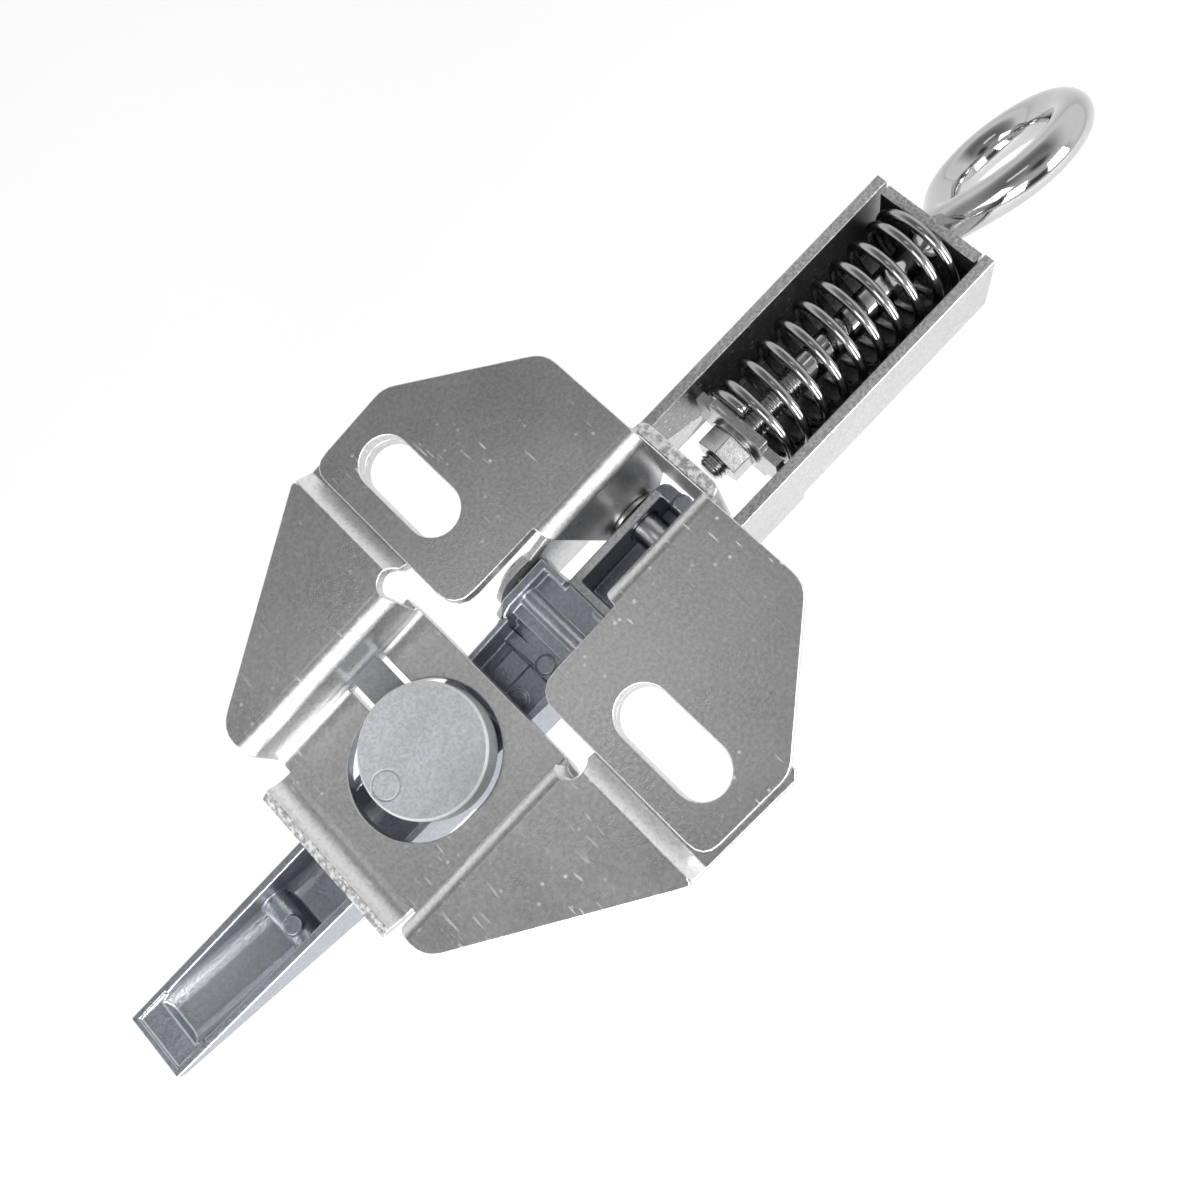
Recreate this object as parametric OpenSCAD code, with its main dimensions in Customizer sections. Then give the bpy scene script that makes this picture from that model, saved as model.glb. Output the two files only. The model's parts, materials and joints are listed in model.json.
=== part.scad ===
// Engine cover lock: an over-centre draw latch with a keyed lever.
// Millimetres. The origin lies midway between the two mounting slots, on the mounting face.
// +X points to the eye, +Z points to the panel that the latch is bolted to.
// The lever hangs on the -Z side and opens by swinging its tip to -Z and then to +X.

/* [Sheet metal] */
// Thickness of both pressed plates
sheet = 2.5; // [2:0.1:2.8]
// Half width over the two wings
wing_half = 44.6; // [43.5:0.1:48]
// Distance between the slot centres
slot_pitch = 58.5; // [56:0.5:62]
// Slot width, free fit for an M8 bolt
slot_w = 9; // [7:0.5:10]
// Slot length, end to end
slot_l = 20.7; // [16:0.1:22]
// Half width between the inner faces of the trough walls
trough_in = 6; // [5.8:0.1:6.4]

/* [Pocket] */
// Depth of the pocket floor under the mounting face
pocket_depth = 11.5; // [10:0.5:13]
// Half width between the pocket walls
pocket_half = 18.2; // [18:0.1:19.4]
// Distance from the origin to the closed end of the pocket
pocket_end = 48.6; // [47.6:0.2:52]

/* [Lever] */
// Distance from the origin to the tip of the lever
tip_x = 95.5; // [88:0.5:104]
// Lever width at its root
lever_w = 15.8; // [14.4:0.2:16.4]
// Lever width at its tip
tip_w = 12.8; // [11:0.2:14]
// Wall of the lever casting
lever_wall = 1.5; // [1.2:0.1:2]
// Distance along X from the fixed pivot to the crank pin
crank_reach = 20; // [19:0.2:20.6]
// Height of the crank pin past the dead centre
over_centre = 2.8; // [2:0.2:3.2]
// Radius of the pivot pin and the crank pin
pin_r = 3; // [2.6:0.1:3.1]

/* [Lock] */
// Distance from the origin to the lock axis
boss_x = 29.1; // [28.6:0.1:30]
// Radius of the cam drum
drum_r = 11.1; // [10.6:0.1:11.4]
// Radius of the key plug
plug_r = 6; // [5.7:0.1:6.3]

/* [Draw bar] */
// Tilt of the draw bar towards the eye, degrees
droop = 2.2; // [0:0.2:4]
// Thickness of the channel sheet
channel_t = 2; // [1.6:0.1:2.4]
// Outer height of the channel
channel_h = 17.8; // [17:0.2:20]
// Length from the crank pin to the end face
channel_len = 87; // [80:1:100]
// Outer radius of the draw spring
spring_r = 9.2; // [8.4:0.1:9.4]
// Wire of the draw spring
spring_wire = 1.8; // [1.5:0.1:2.1]
// Turns of the draw spring
spring_turns = 10.5; // [8.5:0.5:11.5]
// Radius of the eye at the middle of its wire
eye_r = 11.9; // [11:0.1:13]
// Distance from the neck of the eye to its centre
eye_reach = 15.6; // [14.6:0.1:18]
// Wire of the eye
eye_wire = 6.6; // [6:0.1:7]
// Turn of the eye about its shank, degrees
eye_turn = 52; // [0:1:90]
// Thread radius, M5
thread_r = 2.5; // [2.3:0.1:2.6]

/* [Hidden] */
$fn = 64;
eps = 0.01;
// Reach of a cut that runs right through
through = 20;

// Running clearance of a pin in its bore
run = 0.06;
// Clearance of a pin in a plain hole
free = 0.05;
// Bend radius on the outside of a bend
bend_r = sheet + 0.5;

// Wings and trough
wing_back = -9;
wing_front = 30;
flat_in = trough_in + bend_r;
trough_out = trough_in + sheet;
trough_x0 = 8.2;
wing_corner_x = 8.4;
wing_taper = 17;
wall_end_r = 6.2;
trough_x1 = wing_front + sheet - 0.1;

// Pocket levels
floor_z = -pocket_depth;
flange_z = -0.3;
pocket_x0 = -14.2;
foot_r = 1.8;
relief_r = 2.6;
hole_draw = 3.4;
lip_r = 5;
lip_turn = 56;
tab_half = wing_half + 1;
lip_half = pocket_half - 2.7;
tab_front = 9.4;
ear_in = slot_pitch / 2 - slot_l / 2 - 3.5;
ramp_x0 = wing_back - 0.6;
ramp_x1 = wing_back - 3.4;

// Lever levels, all below the pocket floor
rim_z = floor_z - sheet - 0.6;
pivot_x = 21.5;
pivot_z = rim_z - 8.7;
crank_x = pivot_x - crank_reach;
crank_z = pivot_z + over_centre;
root_z = pivot_z - 5.6;
arm_half = trough_in - 0.9;
arm_rim = rim_z - 4.1;
arm_end = wing_front - 0.65;
arm_end_r = norm([arm_end - pivot_x, arm_rim - pivot_z]);
knuckle_half = trough_out + 0.7;
knuckle_z = rim_z + 2;
knuckle_x0 = crank_x - 7.9;
knuckle_x1 = crank_x + 4.3;
bush_r = pin_r + 1;
ledge_z = rim_z - 5;
shelf_z = rim_z - 0.9;
shelf_x0 = crank_x - 5.8;
root_floor = rim_z - 6;
rib_r = 1.55;
rib_x = crank_x - 1.85;
grip_rib_x = -68;
ejector_r = 1.7;
bend_x = -56;
tip_rise = 3.2;

// Lock levels
boss_r = drum_r - 1.9;
hole_r = drum_r + 0.9;
boss_top = floor_z - 0.8;
drum_z = boss_top + 0.3;
drum_top = floor_z + 4.3;
drum_edge = 0.4;
body_r = plug_r + 1.9;
body_top = boss_top - 3.3;
tongue_w = 5.6;
tongue_reach = pocket_half - 1;
tongue_off = 2;
tongue_z = floor_z + 1.4;
tongue_t = 1.5;
spigot = 4.9;
body_pin_r = 1.2;
body_pin_z = root_z + 6;
cam_pin_r = 0.8;
cam_pin_z = body_top - 0.9;
ring_w = 2.4;
ring_gap = 5.2;
key_w = 1.4;
key_h = 8;
key_deep = 10;
wafers = 4;
wafer_w = 4.2;
wafer_h = 9.8;
wafer_t = 1;
wafer_pitch = 1.8;
wafer_z0 = root_z + 2.6;
washer_gap = 0.1;
pivot_washer_r = 5.4;

// Draw bar, in its own frame with the origin on the crank pin
channel_in = trough_out + 1.7;
channel_out = channel_in + channel_t;
chan_top = 10.5;
chan_bot = chan_top - channel_h;
axis_z = chan_bot + channel_t + spring_r + 0.15;
seat_t = 1.8;
spring_x1 = channel_len - channel_t;
spring_x0 = 42;
chan_floor_x = spring_x0 + 0.5;
washer_t = 0.8;
washer_r = 5;
arm_r = 6.4;
nut_h = 4;
nut_r = 4.62;
thread_end = spring_x0 - seat_t - washer_t - nut_h - 2.2;
shank_r = thread_r + 0.4;
neck_x = channel_len + 2;
eye_x = neck_x + eye_reach;

// Colours of the shaded view
zinc = [0.74, 0.75, 0.77];
cast = [0.60, 0.62, 0.65];
bright = [0.85, 0.86, 0.88];
brass = [0.80, 0.66, 0.36];
dark = [0.40, 0.41, 0.44];

// Points of a softened corner at q, set back by d along both sides
function soft(p, q, r, d) =
  let (a = q + d * (p - q) / norm(p - q), b = q + d * (r - q) / norm(r - q))
  d == 0 ? [q] : [for (t = [0:0.25:1]) (1 - t) * (1 - t) * a + 2 * t * (1 - t) * q + t * t * b];

// Outline with every corner [x, y, setback] softened
function softened(c) =
  let (n = len(c))
  [for (i = [0:n - 1])
    each soft([c[(i + n - 1) % n][0], c[(i + n - 1) % n][1]], [c[i][0], c[i][1]],
      [c[(i + 1) % n][0], c[(i + 1) % n][1]], c[i][2])];

module both_sides() {
  children();
  mirror([0, 1, 0]) children();
}

// A flat shape in plan between two heights
module plan(z0, z1) {
  translate([0, 0, z0]) linear_extrude(z1 - z0) children();
}

// A side view shape, drawn as X and Z, with a thickness centred on Y
module side(half) {
  translate([0, half, 0]) rotate([90, 0, 0]) linear_extrude(2 * half) children();
}

// A cross-section shape, drawn as Y and Z, run along X
module along(x0, x1) {
  translate([x0, 0, 0]) rotate([90, 0, 90]) linear_extrude(x1 - x0) children();
}

// A quarter of a ring in the first quadrant
module quarter(r_in, r_out) {
  intersection() {
    difference() {
      circle(r_out);
      circle(r_in);
    }
    square(r_out);
  }
}

// A round bar along Y
module bar_y(x, z, r, y0, y1) {
  translate([x, y1, z]) rotate([90, 0, 0]) cylinder(r = r, h = y1 - y0);
}

// A round bar along X
module bar_x(x0, x1, r) {
  translate([x0, 0, 0]) rotate([0, 90, 0]) cylinder(r = r, h = x1 - x0);
}

module box(x0, x1, y0, y1, z0, z1) {
  translate([x0, y0, z0]) cube([x1 - x0, y1 - y0, z1 - z0]);
}

// One slot through both plates on the +Y side
module slot_cut() {
  straight = slot_l / 2 - slot_w / 2;
  translate([0, slot_pitch / 2, -through / 2]) {
    for (s = [-1, 1]) translate([0, s * straight, 0]) cylinder(d = slot_w, h = through);
    translate([-slot_w / 2, -straight, 0]) cube([slot_w, 2 * straight, through]);
  }
}

// Frame of the draw bar, frame of its spring, frame of the lock
module draw_frame() {
  translate([crank_x, 0, crank_z]) rotate([0, droop, 0]) children();
}

module shank_frame() {
  draw_frame() translate([0, 0, axis_z]) children();
}

module lock_frame() {
  translate([-boss_x, 0, 0]) children();
}

// Plan of one wing
module wing_outline() {
  polygon(softened([[wing_back, flat_in, 4.5], [wing_back, wing_half - 0.5, 3.4],
    [wing_corner_x, wing_half, 2], [wing_front, wing_half - wing_taper, 2.5], [wing_front, flat_in, 0]]));
}

// Side view of a trough wall, tapering down to the pivot
module wall_profile() {
  polygon([[trough_x0, 1], [wing_front, 1], [wing_front, pivot_z + 4], [pivot_x + 5, pivot_z - 3.4],
    [pivot_x - 6.3, pivot_z + 1], [trough_x0 + 0.6, -1]]);
  translate([pivot_x, pivot_z]) circle(wall_end_r);
}

module hinge_plate() color(zinc) difference() {
  union() {
    both_sides() {
      plan(-sheet, 0) wing_outline();
      intersection() {
        along(trough_x0, wing_front) {
          translate([flat_in, -bend_r]) rotate(90) quarter(bend_r - sheet, bend_r);
          translate([trough_in, pivot_z - 7]) square([sheet, -pivot_z + 7 - bend_r]);
        }
        side(wing_half) wall_profile();
      }
    }
    plan(arm_rim, -0.6) polygon(softened([[wing_front - 0.1, -trough_out, 0],
      [trough_x1, -trough_out, 2.2], [trough_x1, trough_out, 2.2], [wing_front - 0.1, trough_out, 0]]));
  }
  both_sides() slot_cut();
  bar_y(pivot_x, pivot_z, pin_r + free, -wing_half, wing_half);
}

// Plan of the tab that lies under one wing
module tab_outline() {
  polygon([[ramp_x0, pocket_half + 3.2], [wing_back + 0.6, pocket_half + 3.2], [wing_back + 0.6, ear_in],
    [tab_front, ear_in], [tab_front, tab_half - 1.2], [tab_front - 1.2, tab_half],
    [ramp_x0, tab_half - 0.6]]);
}

// Plan of one flange beside the pocket
module flange_outline() {
  bend_y = pocket_half + bend_r;
  polygon(softened([[ramp_x1, bend_y, 0], [ramp_x1, tab_half, 1.6], [-pocket_end, bend_y + 3.2, 3],
    [-pocket_end, bend_y, 0]]));
}

// Cross-section of one half of the pocket
module pocket_profile() {
  bend_y = pocket_half + bend_r;
  translate([bend_y, flange_z - bend_r]) rotate(90) quarter(bend_r - sheet, bend_r);
  translate([pocket_half, floor_z + foot_r])
    square([sheet, flange_z - bend_r - floor_z - foot_r]);
  translate([pocket_half - foot_r, floor_z + foot_r]) rotate(-90) quarter(foot_r, foot_r + sheet);
  translate([0, floor_z - sheet]) square([pocket_half - foot_r, sheet]);
}

// Turned-up end of the pocket floor, cut off square to the sheet
module lip_section() {
  difference() {
    rotate(180) quarter(lip_r, lip_r + sheet);
    rotate(-90 - lip_turn) translate([0, -through]) square(through);
  }
}

module pocket_plate() color(zinc) difference() {
  union() {
    both_sides() {
      plan(-2 * sheet, -sheet) tab_outline();
      intersection() {
        side(tab_half) polygon([[ramp_x0, -sheet], [ramp_x0, -2 * sheet], [ramp_x1, flange_z - sheet],
          [ramp_x1, flange_z]]);
        box(ramp_x1, ramp_x0, pocket_half + 3.2, tab_half - 0.6, -9, 1);
      }
      plan(flange_z - sheet, flange_z) flange_outline();
      along(-pocket_end, pocket_x0) pocket_profile();
    }
    side(lip_half) translate([-pocket_end, floor_z + lip_r]) lip_section();
  }
  both_sides() {
    slot_cut();
    translate([ramp_x1 - 0.4, pocket_half + 1.8, -through / 2]) cylinder(r = relief_r, h = through);
  }
  // Hole for the drum, drawn out towards the tip so that the drum can swing clear
  translate([0, 0, floor_z - sheet - 1]) {
    for (x = [0, hole_draw]) translate([-boss_x - x, 0, 0]) cylinder(r = hole_r, h = sheet + 2);
    translate([-boss_x - hole_draw, -hole_r, 0]) cube([hole_draw, 2 * hole_r, sheet + 2]);
    translate([-boss_x + tongue_off - tongue_w / 2 - 2, 0, 0])
      cube([tongue_w + 2.6, tongue_reach + 0.6, sheet + 3]);
  }
}

// Height of the lever's rim on its rising tip
function rim_at(x) = rim_z + tip_rise * (bend_x - x) / (tip_x + bend_x);

// Half width of the lever, tapering to the tip
function lever_half(x) =
  (tip_w + (lever_w - tip_w) * (x + tip_x) / (knuckle_x0 + 1 + tip_x)) / 2;

// Side view of the lever, from the tip to the knuckle
module lever_profile() {
  polygon([[-tip_x, rim_at(-tip_x)], [bend_x, rim_z], [knuckle_x0 + 1, rim_z], [knuckle_x0 + 1, root_z],
    [-41, root_z + 0.5], [-50, root_z + 1], [-61, root_z + 2.7], [-tip_x + 3, rim_z + 0.1],
    [-tip_x + 0.6, rim_z + 1], [-tip_x, rim_z + 1.8]]);
}

module lever_outline(wall) {
  polygon([[-tip_x + wall, -tip_w / 2 + wall], [knuckle_x0 + 1, -lever_w / 2 + wall],
    [knuckle_x0 + 1, lever_w / 2 - wall], [-tip_x + wall, tip_w / 2 - wall]]);
}

// Hollow of the grip: a round-bottomed trough, its floor falling towards the lock
module grip_hollow() {
  fillet = 3.4;
  x_tip = -tip_x + 5.5;
  x_boss = -boss_x - boss_r - 1;
  floors = [[x_tip - 2, rim_z + 1.2], [-61, root_z + 4.9], [x_boss + 4, root_z + 2.1]];
  intersection() {
    hull() for (f = floors) for (s = [-1, 1])
      translate([f[0], s * (lever_half(f[0]) - lever_wall - fillet), 0]) {
        translate([0, 0, f[1] + fillet]) sphere(fillet, $fn = 24);
        translate([0, 0, 2]) cylinder(r = fillet, h = 1, $fn = 24);
      }
    box(x_tip, x_boss, -through, through, root_z, 1);
  }
}

// Round-topped rib across the grip with the mark of an ejector pin
module grip_rib() {
  rib = 2.4;
  rib_z = rim_z - 3.2 - rib;
  bar_y(grip_rib_x, rib_z, rib, -through, through);
  box(grip_rib_x - rib, grip_rib_x + rib, -through, through, root_z, rib_z);
  translate([grip_rib_x + 0.6, -1.2, rib_z]) cylinder(r = ejector_r, h = rib + 0.4);
}

// The hollow back of the lever
module lever_hollow() {
  difference() {
    grip_hollow();
    grip_rib();
  }
  intersection() {
    union() {
      side(through) polygon([[-boss_x + boss_r + 1.4, 0], [knuckle_x0 + 2, 0], [knuckle_x0 + 2, ledge_z],
        [knuckle_x0 - 2.4, ledge_z], [knuckle_x0 - 2.4, root_floor], [-boss_x + boss_r + 1.4, root_floor]]);
      // Shallow step over the solid tip
      side(through) polygon([[-tip_x, rim_at(-tip_x) - 0.4], [-tip_x + 7, rim_at(-tip_x + 7) - 0.4],
        [-tip_x + 7, 0], [-tip_x, 0]]);
    }
    plan(root_z - 1, 1) lever_outline(lever_wall - 0.3);
  }
}

// Raised rim of the knuckle, open towards the grip, with a shelf over the crank bore
module knuckle() {
  wall = 1.7;
  difference() {
    box(knuckle_x0, knuckle_x1, -knuckle_half, knuckle_half, root_z, knuckle_z);
    box(knuckle_x0 - 1, shelf_x0, -knuckle_half + wall, knuckle_half - wall, ledge_z, 0);
    box(shelf_x0 - 1, knuckle_x1 - 1.1, -knuckle_half + wall, knuckle_half - wall, shelf_z, 0);
    box(knuckle_x1 - 2, knuckle_x1 + 1, -arm_half + wall, arm_half - wall, shelf_z, 0);
    side(through) polygon([[knuckle_x0 - 1, knuckle_z - 3], [knuckle_x0 + 3, knuckle_z + 0.1],
      [knuckle_x0 - 1, knuckle_z + 1]]);
  }
  bar_y(rib_x, shelf_z, rib_r, -knuckle_half + wall / 2, knuckle_half - wall / 2);
}

// Arm from the knuckle to the fixed pivot, with a solid end past the pin
module pivot_arm() {
  intersection() {
    side(arm_half) {
      translate([knuckle_x1 - 1, root_z]) square([pivot_x - knuckle_x1 + 1, arm_rim - root_z]);
      intersection() {
        translate([pivot_x, pivot_z]) circle(arm_end_r);
        translate([pivot_x - 1, root_z]) square([arm_end - pivot_x + 1, arm_rim - root_z]);
      }
    }
    plan(root_z - 1, 1) polygon(softened([[knuckle_x1 - 2, -arm_half, 0], [arm_end, -arm_half, 2.4],
      [arm_end, arm_half, 2.4], [knuckle_x1 - 2, arm_half, 0]]));
  }
}

module handle() color(cast) difference() {
  union() {
    difference() {
      intersection() {
        plan(root_z - 1, 1) lever_outline(0);
        side(through) lever_profile();
      }
      lever_hollow();
    }
    // Marks left by the ejector pins of the mould
    for (p = [[-6.9, -1.8, ledge_z], [-14.4, -2.2, root_floor], [28.1, -0.4, arm_rim]])
      translate([p[0], p[1], p[2] - 2]) cylinder(r = ejector_r, h = 2.4);
    // Low pad on the floor between the lock and the knuckle
    box(-boss_x + boss_r + 1, knuckle_x0 - 2, 0.4, 4.6, root_z, root_floor + 0.7);
    // Lock boss
    translate([-boss_x, 0, root_z]) cylinder(r = boss_r, h = boss_top - root_z);
    knuckle();
    pivot_arm();
  }
  // Hollow of the arm, with the pivot pin crossing it
  box(knuckle_x1 + 1.5, pivot_x + 5.2, -arm_half + 1.7, arm_half - 1.7, root_z + 1.8, arm_rim + 1);
  bar_y(pivot_x, pivot_z, pin_r + run, -through, through);
  bar_y(crank_x, crank_z, bush_r + free, -through, through);
  lock_frame() {
    translate([0, 0, root_z - 1]) cylinder(r = body_r + free, h = boss_top - root_z + 2);
    translate([0, 0, body_pin_z]) bar_x(body_r - 2, boss_r + 1, body_pin_r + free);
  }
}

module lock_body() color(bright) lock_frame() difference() {
  translate([0, 0, root_z - 0.3]) cylinder(r = body_r, h = body_top - root_z + 0.3);
  translate([0, 0, root_z - 1]) cylinder(r = plug_r + run, h = 2 * through);
  translate([0, 0, body_pin_z]) bar_x(body_r - 1.5, boss_r + 1, body_pin_r + free);
}

// Height of wafer number i in the plug
function wafer_z(i) = wafer_z0 + wafer_pitch * i;

module lock_plug() color(brass) lock_frame() difference() {
  translate([0, 0, root_z - 0.1]) cylinder(r = plug_r, h = boss_top - 1 - root_z + 0.1);
  // Groove for the ring
  translate([0, 0, body_top - 0.05]) difference() {
    cylinder(r = plug_r + 1, h = 1.2);
    translate([0, 0, -1]) cylinder(r = plug_r - 0.9, h = 4);
  }
  // Keyway from the front, wafer slots, socket and cross hole for the cam
  translate([-key_w / 2, -key_h / 2, root_z - 1]) cube([key_w, key_h, key_deep + 1]);
  for (i = [0:wafers - 1]) translate([-wafer_w / 2 - 0.1, -wafer_h / 2 - 0.1, wafer_z(i)])
    cube([wafer_w + 0.2, wafer_h + 0.2, wafer_t + 0.2]);
  translate([-spigot / 2 - free, -spigot / 2 - free, body_top - 2])
    cube([spigot + 2 * free, spigot + 2 * free, 12]);
  translate([0, 0, cam_pin_z]) bar_x(-plug_r - 1, plug_r + 1, cam_pin_r + free);
}

module lock_wafers() color(brass) lock_frame() for (i = [0:wafers - 1]) difference() {
  translate([-wafer_w / 2, -wafer_h / 2, wafer_z(i) + 0.02]) cube([wafer_w, wafer_h, wafer_t]);
  translate([-key_w / 2 - 0.1, -key_h / 2 - 0.1, wafer_z(i) - 1])
    cube([key_w + 0.2, key_h + 0.2, wafer_t + 3]);
}

module plug_ring() color(dark) lock_frame() translate([0, 0, body_top + 0.02]) difference() {
  cylinder(r = plug_r - 0.8 + ring_w, h = 1);
  translate([0, 0, -1]) cylinder(r = plug_r - 0.8, h = 4);
  translate([ring_gap / 2 - 0.6, -ring_gap / 2, -1]) cube([through, ring_gap, 4]);
}

// Round drum with a tongue that turns over the pocket floor to lock the lever
module lock_cam() color(cast) lock_frame() difference() {
  union() {
    translate([0, 0, drum_z]) cylinder(r = drum_r, h = drum_top - drum_edge - drum_z);
    translate([0, 0, drum_top - drum_edge]) cylinder(r1 = drum_r, r2 = drum_r - drum_edge, h = drum_edge);
    translate([tongue_off - tongue_w / 2, 0, tongue_z])
      cube([tongue_w, tongue_reach, tongue_t]);
    translate([-spigot / 2, -spigot / 2, body_top - 1.9])
      cube([spigot, spigot, drum_z - body_top + 2]);
  }
  // Ring left round an ejector mark
  translate([-8, 0.3, drum_top - 0.3]) difference() {
    cylinder(r = 2.6, h = 1);
    translate([0, 0, -1]) cylinder(r = 2.2, h = 4);
  }
  translate([0, 0, cam_pin_z]) bar_x(-plug_r, plug_r, cam_pin_r + free);
}

module cam_pin() color(dark) lock_frame()
  translate([0, 0, cam_pin_z]) bar_x(-plug_r + 0.5, plug_r - 0.5, cam_pin_r);

module body_pin() color(dark) lock_frame()
  translate([0, 0, body_pin_z]) bar_x(body_r - 1.4, boss_r - 0.1, body_pin_r);

// Headed pin fixed in the trough walls
module pivot_pin() color(bright) difference() {
  union() {
    bar_y(pivot_x, pivot_z, pin_r, -trough_out - 1.4, trough_out);
    bar_y(pivot_x, pivot_z, pin_r + 1.4, trough_out, trough_out + 1.2);
  }
  difference() {
    bar_y(pivot_x, pivot_z, pin_r + 1, -trough_out - 1, -trough_out - 0.05);
    bar_y(pivot_x, pivot_z, pin_r - 0.6, -trough_out - 2, 0);
  }
}

module pivot_ring() color(dark) difference() {
  bar_y(pivot_x, pivot_z, pin_r + 1.4, -trough_out - 0.95, -trough_out - 0.05);
  bar_y(pivot_x, pivot_z, pin_r - 0.55, -trough_out - 3, 0);
  box(pivot_x - 1.8, pivot_x + 1.8, -trough_out - 3, 0, pivot_z - through, pivot_z - 1);
}

module pivot_washers() color(bright) both_sides() difference() {
  bar_y(pivot_x, pivot_z, pivot_washer_r, arm_half + washer_gap, trough_in - free);
  bar_y(pivot_x, pivot_z, pin_r + 0.1, 0, through);
}

module crank_bush() color(brass) difference() {
  bar_y(crank_x, crank_z, bush_r, -knuckle_half - 0.4, knuckle_half + 0.4);
  bar_y(crank_x, crank_z, pin_r + run, -through, through);
}

module crank_pin() color(bright) difference() {
  union() {
    bar_y(crank_x, crank_z, pin_r, -channel_out - 1.5, channel_out);
    bar_y(crank_x, crank_z, pin_r + 1.5, channel_out, channel_out + 1.3);
  }
  difference() {
    bar_y(crank_x, crank_z, pin_r + 1, -channel_out - 1.05, -channel_out - 0.05);
    bar_y(crank_x, crank_z, pin_r - 0.6, -channel_out - 3, 0);
  }
}

module crank_ring() color(dark) difference() {
  bar_y(crank_x, crank_z, pin_r + 1.5, -channel_out - 1, -channel_out - 0.05);
  bar_y(crank_x, crank_z, pin_r - 0.55, -channel_out - 4, 0);
  box(crank_x - 1.8, crank_x + 1.8, -channel_out - 4, 0, crank_z - through, crank_z - 1);
}

// Side view of one arm of the channel, from the crank pin to the end
module arm_profile() {
  polygon([[channel_len, chan_top], [15, chan_top], [2.4, 6], [0, arm_r], [-4, 5], [-4, -5], [0, -arm_r],
    [chan_floor_x - 6, chan_bot], [channel_len, chan_bot]]);
  circle(arm_r);
}

module draw_channel() color(zinc) draw_frame() difference() {
  union() {
    both_sides() {
      translate([0, channel_out, 0]) rotate([90, 0, 0]) linear_extrude(channel_t) intersection() {
        arm_profile();
        union() {
          translate([-20, -20]) square([20 + chan_floor_x, 60]);
          translate([chan_floor_x - 1, chan_bot + channel_t + 1]) square([200, 60]);
        }
      }
      along(chan_floor_x, channel_len) {
        translate([channel_in - 1, chan_bot + channel_t + 1]) rotate(-90) quarter(1, 1 + channel_t);
        translate([0, chan_bot]) square([channel_in - 1, channel_t]);
      }
    }
    // End wall folded up from the floor, with a gap at each corner
    box(channel_len - channel_t, channel_len, -channel_in + 0.5, channel_in - 0.5, chan_bot, chan_top - 0.5);
  }
  bar_y(0, 0, pin_r + free, -2 * through, 2 * through);
  translate([0, 0, axis_z]) bar_x(channel_len - 10, channel_len + 5, eye_wire / 2 + 0.35);
}

// Centre line of the spring: one closed turn at each end, even pitch between
function coil_x(a) =
  let (first = spring_x0 + spring_wire / 2, last = spring_x1 - spring_wire / 2, dead = spring_wire * 1.06)
  a < 1 ? first + dead * a
    : a > spring_turns - 1 ? last - dead * (spring_turns - a)
    : first + dead + (last - first - 2 * dead) * (a - 1) / (spring_turns - 2);

// One point of the spring's skin: i steps along the wire, k steps round it
function coil_point(i, k, steps, ring) =
  let (a = i / steps * spring_turns, r = spring_r - spring_wire / 2,
    d = r + spring_wire / 2 * cos(360 * k / ring))
  [coil_x(a) + spring_wire / 2 * sin(360 * k / ring), d * sin(360 * a), d * cos(360 * a)];

module draw_spring() color(bright) shank_frame() {
  steps = round(spring_turns * 22);
  ring = 8;
  points = [for (i = [0:steps]) for (k = [0:ring - 1]) coil_point(i, k, steps, ring)];
  skin = [for (i = [0:steps - 1]) for (k = [0:ring - 1])
    [i * ring + k, i * ring + (k + 1) % ring, (i + 1) * ring + (k + 1) % ring, (i + 1) * ring + k]];
  ends = [[for (k = [ring - 1:-1:0]) k], [for (k = [0:ring - 1]) steps * ring + k]];
  polyhedron(points, concat(skin, ends), convexity = 10);
}

// Stepped plate that the nut pulls against the spring
module spring_seat() color(zinc) shank_frame() difference() {
  union() {
    box(spring_x0 - seat_t, spring_x0, -spring_r + 0.3, spring_r - 0.3, -4.6, 4);
    box(spring_x0 - seat_t, spring_x0, -5.6, 5.6, -spring_r + 1.6, spring_r - 2.6);
  }
  bar_x(spring_x0 - through, spring_x0 + through, thread_r + 0.1);
}

module flat_washer() color(bright) shank_frame() difference() {
  bar_x(spring_x0 - seat_t - washer_t, spring_x0 - seat_t, washer_r);
  bar_x(spring_x0 - through, spring_x0 + through, thread_r + 0.1);
}

module hex_nut() color(bright) shank_frame() difference() {
  translate([spring_x0 - seat_t - washer_t - nut_h, 0, 0]) rotate([0, 90, 0])
    cylinder(r = nut_r, h = nut_h, $fn = 6);
  bar_x(spring_x0 - through, spring_x0 + through, thread_r + 0.02);
}

module eye_bolt() color(bright) shank_frame() {
  tangent = acos(eye_r / eye_reach);
  limb = eye_reach * sin(tangent);
  bar_x(thread_end, spring_x0 + 14, thread_r);
  bar_x(spring_x0 + 12, neck_x, shank_r);
  rotate([-eye_turn, 0, 0]) {
    translate([neck_x, 0, 0]) sphere(d = eye_wire);
    // Two straight limbs run from the neck to the round of the eye
    for (s = [-1, 1]) translate([neck_x, 0, 0]) rotate([0, 0, s * (90 - tangent)])
      bar_x(0, limb, eye_wire / 2);
    translate([eye_x, 0, 0]) {
      rotate([0, 0, tangent - 180]) rotate_extrude(angle = 360 - 2 * tangent)
        translate([eye_r, 0]) circle(d = eye_wire);
      // The round closes on each limb in a ball
      for (s = [-1, 1]) rotate([0, 0, s * (180 - tangent)])
        translate([eye_r, 0, 0]) sphere(d = eye_wire + 2 * eps);
    }
  }
}

hinge_plate();
pocket_plate();
handle();
lock_body();
lock_plug();
lock_wafers();
plug_ring();
lock_cam();
cam_pin();
body_pin();
pivot_pin();
pivot_ring();
pivot_washers();
crank_bush();
crank_pin();
crank_ring();
draw_channel();
draw_spring();
spring_seat();
flat_washer();
hex_nut();
eye_bolt();
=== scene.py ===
"""Looks of the engine cover lock: finishes, fine shapes, floor, light and the photo's camera."""

import json
import math

import bmesh
import bpy
from mathutils import Matrix, Vector


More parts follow.
